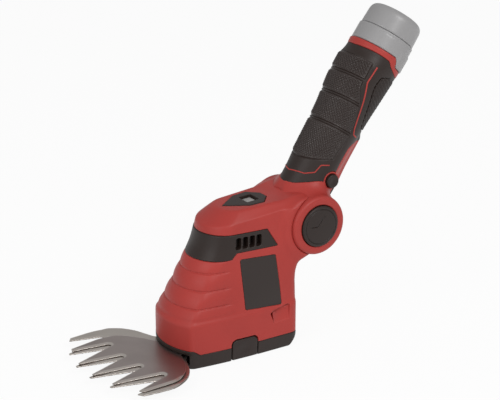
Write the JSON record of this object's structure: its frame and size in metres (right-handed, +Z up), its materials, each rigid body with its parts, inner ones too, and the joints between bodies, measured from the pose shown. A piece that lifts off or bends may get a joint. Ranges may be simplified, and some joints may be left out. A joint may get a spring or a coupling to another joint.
{
  "type": "cordless grass shears",
  "caption": "Hand-held cordless grass shears with a fan of toothed blades, a ribbed motor body on a flat sole, and a tilting forked handle with a stick battery.",
  "frame": {"origin": "on the sole's flat underside, midway along the flat between the nose and the rear edge, on the centre line", "axes": "+X along the tool from the blades to the handle, +Y across to the far side, +Z up from the ground"},
  "size_m": [0.3384, 0.134, 0.2837],
  "materials": {
    "red_plastic": "fine matte moulded red",
    "dark_plastic": "fine matte moulded grey-black",
    "grip_rubber": "soft-touch grip",
    "battery_plastic": "fine matte moulded grey",
    "blade_steel": "ground blade steel",
    "steel": "plain steel",
    "brass": "machined",
    "alloy": "cast plate",
    "cell_metal": "wrapped cells",
    "inner_plastic": "moulded",
    "lens": "light diffuser"
  },
  "bodies": {
    "base": {"left_body_shell": "red_plastic", "right_body_shell": "red_plastic", "vent_band": "dark_plastic", "sole": "dark_plastic", "sole_screws": "steel", "body_screws": "steel", "left_label_plate": "dark_plastic", "right_label_plate": "dark_plastic", "indicator_bezel": "dark_plastic", "indicator_lens": "lens", "indicator_board": "inner_plastic", "motor_can": "steel", "motor_end_cap": "inner_plastic", "gear_plate": "alloy", "gear_axle": "steel", "left_release_spring": "steel", "right_release_spring": "steel"},
    "motor_shaft": {"motor_pinion": "brass"},
    "crank": {"drive_gear": "brass", "crank_roller": "steel"},
    "blade_set": {"lower_blade": "blade_steel", "blade_pivot_bolt": "steel", "blade_carrier": "dark_plastic"},
    "cutter": {"upper_blade": "blade_steel", "blade_bush": "brass"},
    "left_release": {"left_release_button": "dark_plastic"},
    "right_release": {"right_release_button": "dark_plastic"},
    "handle": {"left_handle_shell": "red_plastic", "right_handle_shell": "red_plastic", "grip_cover": "grip_rubber", "rib_pad": "grip_rubber", "hinge_pin": "steel", "pivot_cap": "dark_plastic", "switch_block": "inner_plastic", "terminal_block": "inner_plastic", "handle_screws": "steel", "trigger_pin": "steel", "trigger_spring": "steel", "lock_spring": "steel", "hinge_spring": "steel"},
    "hinge_lock": {"hinge_button": "dark_plastic", "lock_gear": "steel"},
    "trigger": {"trigger": "dark_plastic"},
    "lock_off": {"lock_button": "dark_plastic"},
    "battery": {"battery_housing": "battery_plastic", "battery_cap": "battery_plastic", "battery_cells": "cell_metal", "cell_holder": "inner_plastic", "battery_contacts": "brass", "latch_spring": "steel"},
    "latch": {"battery_latch": "battery_plastic"}
  },
  "joints": [
    {"name": "handle_tilt", "type": "hinge", "parent": "base", "child": "handle", "pos_m": [0.0725, 0, 0.1065], "axis": [0, 1, 0], "range_deg": [0, 50]},
    {"name": "hinge_press", "type": "slide", "parent": "handle", "child": "hinge_lock", "axis": [0, 1, 0], "range_m": [0, 0.003], "stiffness_N_per_m": 600, "springref_m": -0.003, "deforming": ["hinge_spring"]},
    {"name": "trigger_pull", "type": "hinge", "parent": "handle", "child": "trigger", "pos_m": [0.11366, 0, 0.14447], "axis": [0, 1, 0], "range_deg": [0, 7], "stiffness_Nm_per_rad": 0.4, "springref_deg": -5.73, "deforming": ["trigger_spring"]},
    {"name": "lock_press", "type": "slide", "parent": "handle", "child": "lock_off", "axis": [0, 1, 0], "range_m": [0, 0.0025], "stiffness_N_per_m": 400, "springref_m": -0.002, "deforming": ["lock_spring"]},
    {"name": "left_release_press", "type": "slide", "parent": "base", "child": "left_release", "axis": [0, 1, 0], "range_m": [0, 0.0025], "stiffness_N_per_m": 600, "springref_m": -0.002, "deforming": ["left_release_spring"]},
    {"name": "right_release_press", "type": "slide", "parent": "base", "child": "right_release", "axis": [0, -1, 0], "range_m": [0, 0.0025], "stiffness_N_per_m": 600, "springref_m": -0.002, "deforming": ["right_release_spring"]},
    {"name": "blade_slide", "type": "slide", "parent": "base", "child": "blade_set", "axis": [-1, 0, 0], "range_m": [0, 0.06]},
    {"name": "blade_swing", "type": "hinge", "parent": "blade_set", "child": "cutter", "pos_m": [-0.0345, 0, 0.0091], "axis": [0, 0, 1], "range_deg": [-13.9, 0]},
    {"name": "crank_spin", "type": "hinge", "parent": "base", "child": "crank", "pos_m": [-0.0045, 0, 0.03], "axis": [0, 0, 1], "continuous": true},
    {"name": "motor_spin", "type": "hinge", "parent": "base", "child": "motor_shaft", "pos_m": [0.0179, 0, 0.03], "axis": [0, 0, 1], "continuous": true},
    {"name": "battery_slide", "type": "slide", "parent": "handle", "child": "battery", "axis": [0.5948, 0, 0.8039], "range_m": [0, 0.075]},
    {"name": "latch_press", "type": "slide", "parent": "battery", "child": "latch", "axis": [-0.8039, 0, 0.5948], "range_m": [0, 0.0015], "stiffness_N_per_m": 500, "springref_m": -0.002, "deforming": ["latch_spring"]}
  ],
  "couplings": [
    {"joint": "motor_spin", "follows": "crank_spin", "ratio": -3}
  ]
}
